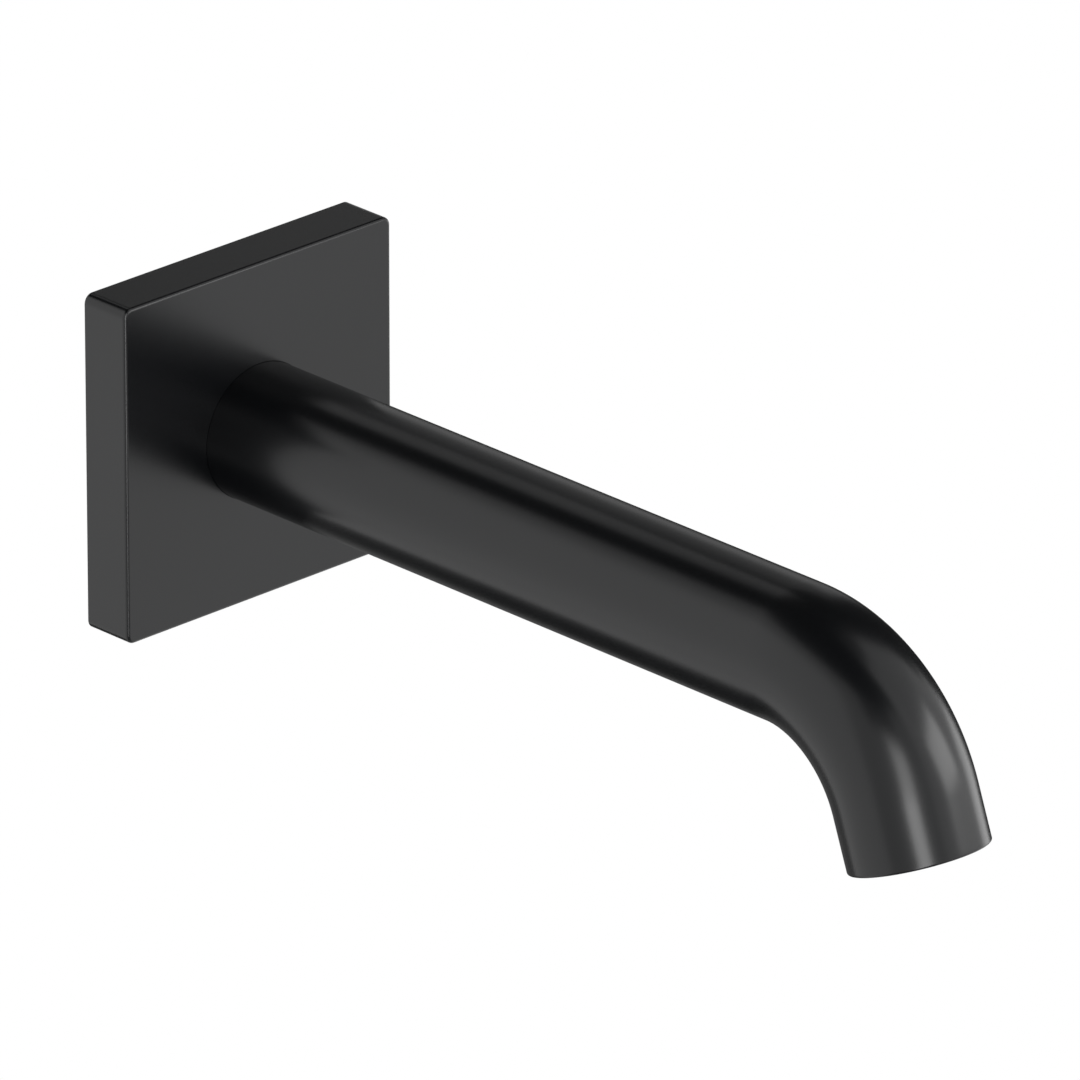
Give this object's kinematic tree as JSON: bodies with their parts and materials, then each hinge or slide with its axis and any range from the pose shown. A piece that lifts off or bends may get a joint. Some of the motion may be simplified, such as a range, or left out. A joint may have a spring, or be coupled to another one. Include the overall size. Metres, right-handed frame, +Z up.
{
  "type": "bath spout",
  "caption": "Wall-mounted bath spout: round tube bent down at the end, square wall plate, threaded inlet nipple and recessed aerator.",
  "frame": {"origin": "middle of the plate's rear face, on the finished wall and on the tube's axis", "axes": "+Z up, +Y into the wall, so the spout reaches out along -Y; +X to the right from the front"},
  "size_m": [0.08, 0.2524, 0.0812],
  "materials": {
    "black_coat": "satin black coating",
    "brass": "turned, uncoated",
    "rubber": "smooth seal rubber",
    "foam": "closed-cell foam",
    "stainless": "plain stainless steel",
    "black_plastic": "fine moulded",
    "grey_plastic": "fine moulded",
    "white_plastic": "natural moulded"
  },
  "bodies": {
    "root": {"spout_tube": "black_coat", "escutcheon": "black_coat", "connection_nipple": "brass", "inlet_socket": "brass", "outlet_ring": "black_coat", "nipple_o_ring_rear": "rubber", "nipple_o_ring_front": "rubber", "escutcheon_o_ring": "rubber", "aerator_washer": "rubber", "wall_seal": "foam", "grub_screw": "stainless", "aerator_housing": "black_plastic", "aerator_honeycomb": "grey_plastic", "aerator_lower_grid": "white_plastic", "aerator_upper_grid": "white_plastic", "aerator_jet_plate": "white_plastic", "aerator_prefilter": "white_plastic"}
  },
  "joints": []
}
